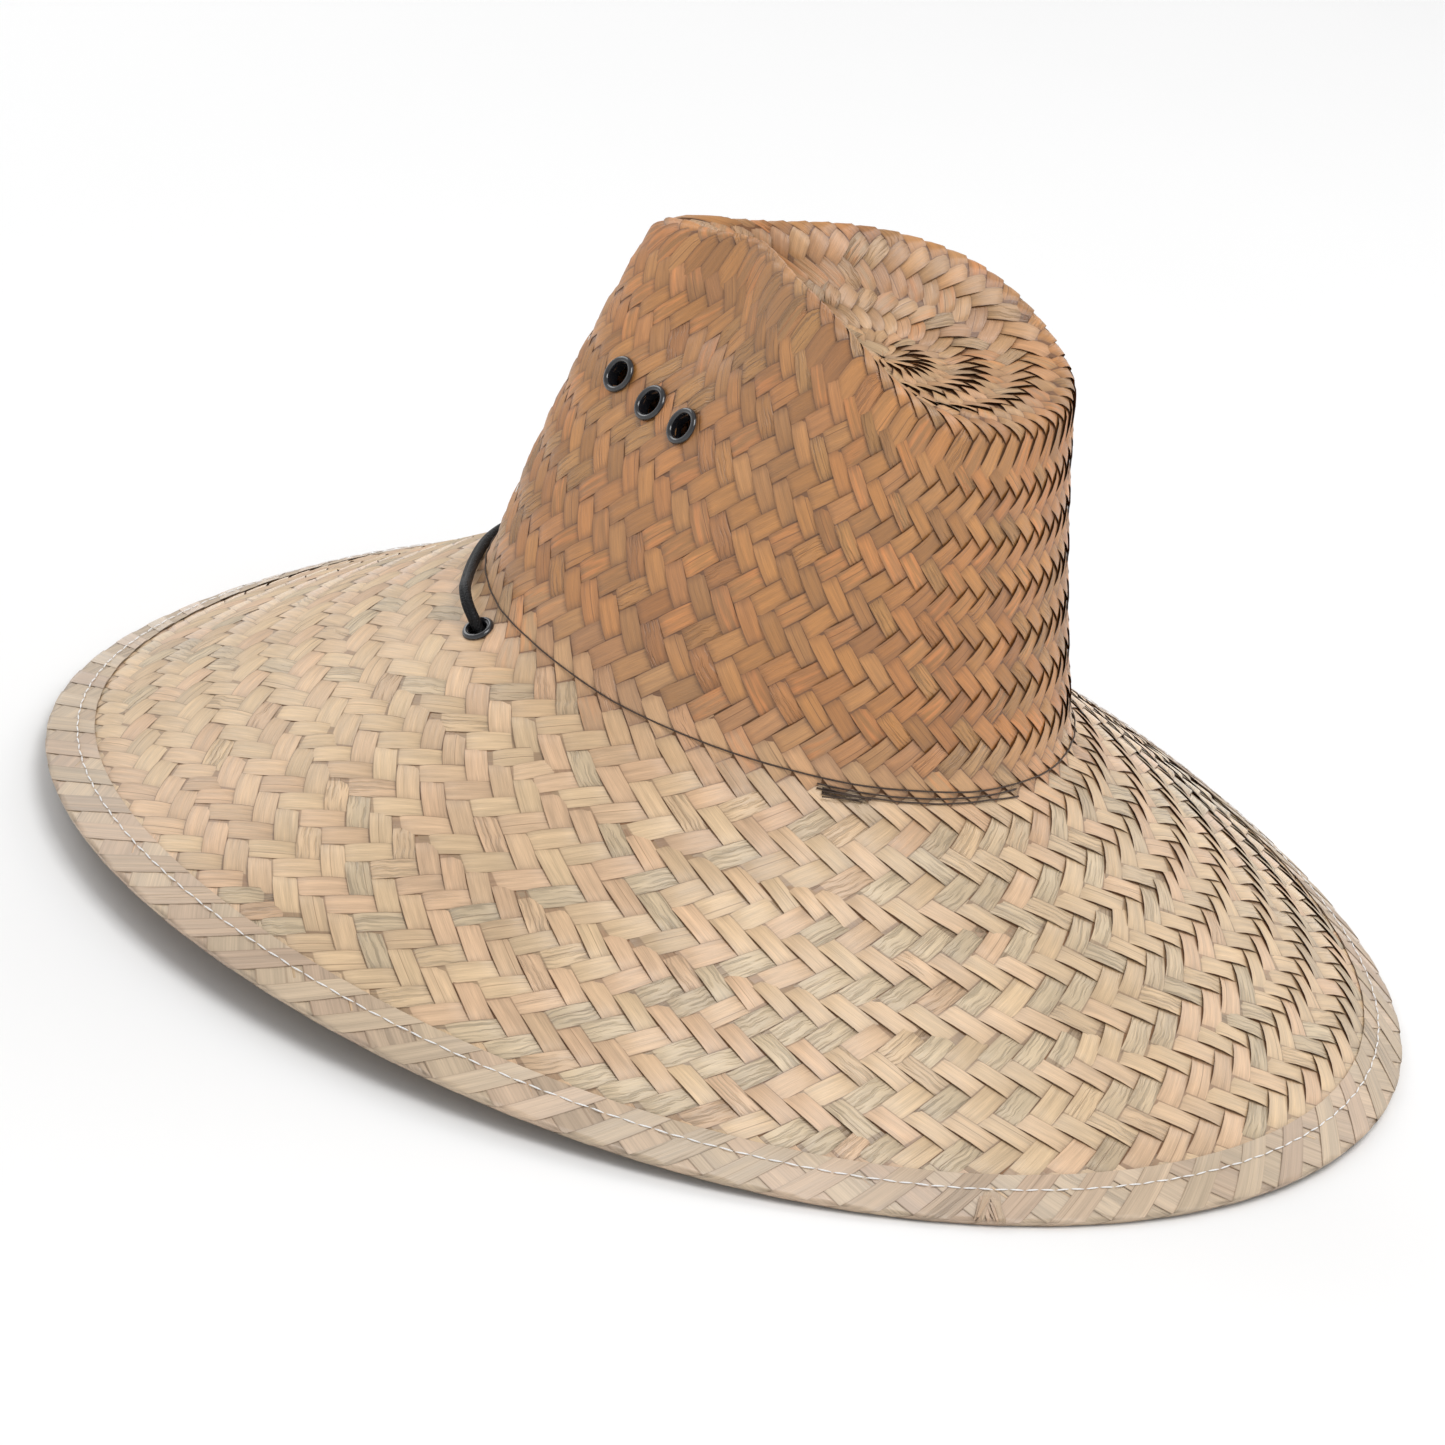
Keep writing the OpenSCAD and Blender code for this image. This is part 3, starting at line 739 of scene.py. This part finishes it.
brim_rows = even_rows(-(hem_start + 0.06), 0.0, leaf_pitch)[::-1]
brim_leaves = weave_rows(brim_rows, lambda w: leaf_pitch, chance)
brim = woven("brim_weave", brim_leaves, chance, (-(hem_start + 0.08), 0.0), cord_holes,
             [brim_leaf, brim_gap_shade])
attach(brim, "hat")
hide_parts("brim")


# ---------------------------------------------------------------- Bound edge
# A band 15 mm wide of flat leaf ribbon closes the brim's edge: it is wound on the slant over the
# edge, each turn lapped on the last, and held by one line of white lock stitches.
hem_half = 1.05
ribbon_step, ribbon_slant = 22.0, 19.0
upper_share, lower_share = 0.27, 0.56
edge_share = 0.44
hem_segments = 20


def hem_place(t, q, lift):
    """The band's surface: q is 0 at its upper inner edge and 1 at its lower inner edge."""
    bend = np.clip((q - edge_share) / (1 - 2 * edge_share), 0, 1) * math.pi
    upper, lower = np.minimum(q / edge_share, 1), np.minimum((1 - q) / edge_share, 1)
    inner = np.where(q < 0.5, upper, lower)
    half = hem_half * (0.7 + 0.3 * np.minimum(inner * 5, 1)) + lift
    turned = (q > edge_share) * (q < 1 - edge_share)
    r = (hem_start + (1 - hem_start) * (0.985 * inner)
         + half * np.sin(bend) / (brim_length - head_length) * turned)
    return hat_place(t, -np.minimum(r, 1.0), half * np.cos(bend))


edge_line = brim_mid(np.arange(0, 360, 1.0), np.ones(360))
edge_steps = np.linalg.norm(np.roll(edge_line, -1, axis=0) - edge_line, axis=1)
edge_length = edge_steps.sum()
edge_along = np.concatenate([[0], np.cumsum(edge_steps)])


def turn_at(distance):
    """Turn round the hat at a distance along the brim's edge."""
    return (np.interp(distance % edge_length, edge_along, np.arange(361.0))
            + 360 * (distance // edge_length))


ribbon_count = round(edge_length / ribbon_step)
join_turn, fibre_count = 139.5, 14
bm = bmesh.new()
bm.loops.layers.uv.new("leaf")
tint_layer, seed_layer = bm.faces.layers.float.new("tint"), bm.faces.layers.float.new("seed")
toast_layer = bm.faces.layers.float.new("toast")
for number in range(2 * ribbon_count):
    over = number % 2
    made = bmesh.ops.create_grid(bm, x_segments=hem_segments, y_segments=2, size=1, calc_uvs=True)
    tint, seed = chance.random() * 0.7, chance.random()
    grid = np.array([v.co[:2] for v in made["verts"]])
    q = (grid[:, 0] + 1) / 2
    start = number / 2 * edge_length / ribbon_count
    slant = ribbon_slant * (1 + 0.15 * (chance.random() - 0.5)) * (-1 if over else 1)
    share = upper_share if over else lower_share
    distance = start + slant * q / edge_share + grid[:, 1] * ribbon_step * share
    lap = 0.22 * over - 0.14 * grid[:, 1] * (1 - over) - 0.04 * grid[:, 1] ** 2
    placed = hem_place(turn_at(distance), q, lap)
    for v, p in zip(made["verts"], placed):
        v.co = p
    for face in {f for v in made["verts"] for f in v.link_faces}:
        face[tint_layer], face[seed_layer], face[toast_layer] = tint, seed, 0.0

# The ribbon's end is frayed where it joins.
join_at = np.interp(join_turn, np.arange(361.0), edge_along)
for number in range(fibre_count):
    made = bmesh.ops.create_grid(bm, x_segments=6, y_segments=1, size=1, calc_uvs=True)
    grid = np.array([v.co[:2] for v in made["verts"]])
    run = (grid[:, 0] + 1) / 2
    lean, length = 9 * (chance.random() - 0.7), 0.20 + 0.16 * chance.random()
    broad = 0.5 + 1.3 * chance.random()
    q = np.minimum(0.14 + 0.13 * chance.random() + run * length, 0.5)
    distance = (join_at + 5 * (chance.random() - 0.5) + lean * run
                + grid[:, 1] * broad * (1 - 0.8 * run))
    placed = hem_place(turn_at(distance), q, 0.45 + run ** 2 * 1.3 * chance.random())
    for v, p in zip(made["verts"], placed):
        v.co = p
    seed = chance.random()
    for face in {f for v in made["verts"] for f in v.link_faces}:
        face[tint_layer], face[seed_layer], face[toast_layer] = seed * 0.7, seed, 0.25
bmesh.ops.recalc_face_normals(bm, faces=bm.faces)
hem_leaf = leaf_material("hem_leaf", 0.5, 0.0, 0.4,
                         (0.50, 0.385, 0.265, 1), (0.49, 0.355, 0.25, 1))
hem = piece("brim_hem_ribbon", bm, hem_leaf)
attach(hem, "hat")
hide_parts("brim_hem")

# White lock stitches, 5 mm long and drawn down at both ends.
stitch_length, stitch_r, stitch_lean = 5.1, 0.27, 0.088
end_lift, middle_lift = 0.28, 0.55
stitch_half, line_share = 0.47, 0.965
stitch_line = hem_start + (1 - hem_start) / 3
stitch_count = round(edge_length * line_share / stitch_length)
thread_white = speckled("white_thread", 1800.0, (0.72, 0.71, 0.70, 1), (0.95, 0.94, 0.93, 1),
                        Roughness=0.6, Sheen_Weight=0.2)
bm = bmesh.new()
for number in range(stitch_count):
    here = turn_at((number + np.array([0.1, 0.5, 0.9])) * edge_length / stitch_count)
    ends = hat_place(here, np.full(3, -stitch_line),
                     hem_half + np.array([end_lift, middle_lift, end_lift]))
    start, middle, end = (Vector(p) for p in ends)
    heading = (end - start).normalized()
    sideways = heading.cross(Vector((0, 0, 1))).normalized()
    heading = (heading + sideways * stitch_lean * (1 if number % 2 else -1)).normalized()
    laid = Matrix((heading, sideways, heading.cross(sideways))).transposed().to_4x4()
    laid.translation = middle
    stretched = Matrix.Diagonal((stitch_length * stitch_half / 1000, stitch_r / 1000,
                                 stitch_r / 1000, 1))
    bmesh.ops.create_uvsphere(bm, u_segments=8, v_segments=5, radius=1, matrix=laid @ stretched)
bmesh.ops.recalc_face_normals(bm, faces=bm.faces)
stitches = piece("hem_lock_stitches", bm, thread_white)
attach(stitches, "hat")
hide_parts("hem_stitching")


# ---------------------------------------------------------------- Sweatband
# A black cotton band sewn inside the crown's foot, 32 mm high. Its dark sewing thread shows outside
# as a thin line along the foot, doubled behind the left side, where its ends are tied off.
band_low, band_height = 0.012, 32
band_high = band_low + band_height / crown_height
band_gap, band_thick, band_bulge = 1.0, 1.5, 0.1
bm = bmesh.new()
made = bmesh.ops.create_grid(bm, x_segments=backing_round, y_segments=10, size=1, calc_uvs=True)
flat = np.array([v.co[:2] for v in made["verts"]])
bulge = band_bulge * np.cos(flat[:, 1] * math.pi * 2.5)
placed = hat_place((flat[:, 0] + 1) * 180, band_low + (flat[:, 1] + 1) / 2 * (band_high - band_low),
                   -(band_gap + band_thick / 2) + bulge)
for v, p in zip(made["verts"], placed):
    v.co = p
bmesh.ops.remove_doubles(bm, verts=bm.verts, dist=weld)
bmesh.ops.reverse_faces(bm, faces=bm.faces)
cotton, tree, shader = new_material("sweatband_cotton", Roughness=0.85, Sheen_Weight=0.4)
spot = node(tree, "ShaderNodeTexCoord").outputs["Object"]
threads = node(tree, "ShaderNodeTexNoise", Vector=spot, Scale=900.0, Detail=2.0)
wear = node(tree, "ShaderNodeTexNoise", Vector=spot, Scale=40.0, Detail=3.0)
cloth = mixed(tree, wear.outputs[0], (0.012, 0.012, 0.013, 1), (0.035, 0.035, 0.038, 1))
tree.links.new(cloth, shader.inputs["Base Color"])
bump = node(tree, "ShaderNodeBump", Strength=0.5, Distance=0.0003, Height=threads.outputs[0])
tree.links.new(bump.outputs[0], shader.inputs["Normal"])
band = piece("sweatband_cloth", bm, cotton)
solid = band.modifiers.new("thickness", "SOLIDIFY")
solid.thickness = band_thick / 1000
solid.offset = 0
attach(band, "hat")
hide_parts("sweatband")

dark_thread = speckled("dark_thread", 1500.0, (0.02, 0.011, 0.008, 1), (0.10, 0.065, 0.045, 1),
                       Roughness=0.7)
thread_r, thread_sides = 0.29, 6
tie_turn, doubled_end = 128.0, 168
tail_count = 7


def thread_line(start, end, w, wander, lift, chance):
    """A strand laid along the foot, drawn down a little at each stitch."""
    turns = np.arange(start, end, 1.5)
    marks = np.arange(start, end + 12, 12.0)
    drift = np.interp(turns, marks, chance.random(len(marks)))
    dip = 0.16 * np.cos(np.radians(turns * 45))
    placed = hat_place(turns, w + wander * (drift - 0.5), leaf_lift + lift + dip)
    return [Vector(p) for p in placed]


bm = bmesh.new()
line = thread_line(0, 361, 0.020, 0.006, 0.35, chance)
swept(bm, line, thread_r / 1000, thread_sides)
bmesh.ops.recalc_face_normals(bm, faces=bm.faces)
foot_thread = piece("foot_thread", bm, dark_thread)
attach(foot_thread, "hat")
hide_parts("sweatband_stitching")

bm = bmesh.new()
for w, lift in ((0.004, 0.4), (-0.012, 0.3)):
    line = thread_line(tie_turn - 4, doubled_end, w, 0.012, lift, chance)
    swept(bm, line, thread_r / 1000, thread_sides)
for number in range(tail_count):
    line = thread_line(tie_turn - 3, tie_turn + 3 + number * 0.9, -0.012 - 0.004 * (number % 3),
                       0.02, 0.5 + 0.18 * number, chance)
    swept(bm, line, thread_r * 0.8 / 1000, thread_sides)
bmesh.ops.recalc_face_normals(bm, faces=bm.faces)
tuft = piece("thread_tie_off", bm, dark_thread)
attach(tuft, "hat")
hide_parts("thread_knot")


# ---------------------------------------------------------------- Eyelets and washers
# Brass eyelets in gloss black enamel: three vents on each side of the crown and one on each side
# of the brim for the cord. Each is rolled over a washer on the inside.
enamel = speckled("black_enamel", 700.0, (0.008, 0.008, 0.010, 1), (0.018, 0.018, 0.021, 1),
                  bump=0.05, Roughness=0.16, Coat_Weight=0.6, Coat_Roughness=0.08)
metal_nodes = [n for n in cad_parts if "_eyelet_" in n or "_washer_" in n]
for name in metal_nodes:
    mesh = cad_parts[name].data
    mesh.materials.clear()
    mesh.materials.append(enamel)


# ---------------------------------------------------------------- Cord lock
# A round moulded barrel with a spring button: pressing it lines up the holes and frees the cord.
# It stands on the surface under the crown with both tails through it.
lock_plastic = speckled("lock_plastic", 1200.0, (0.013, 0.013, 0.014, 1),
                        (0.024, 0.024, 0.026, 1), bump=0.15, Roughness=0.42)
steel = speckled("spring_steel", 900.0, (0.45, 0.45, 0.46, 1), (0.68, 0.68, 0.69, 1),
                 Metallic=1.0, Roughness=0.3)
for name, material in (("cord_lock_barrel", lock_plastic), ("cord_lock_button", lock_plastic),
                       ("cord_lock_spring", steel)):
    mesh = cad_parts[name].data
    mesh.materials.clear()
    mesh.materials.append(material)
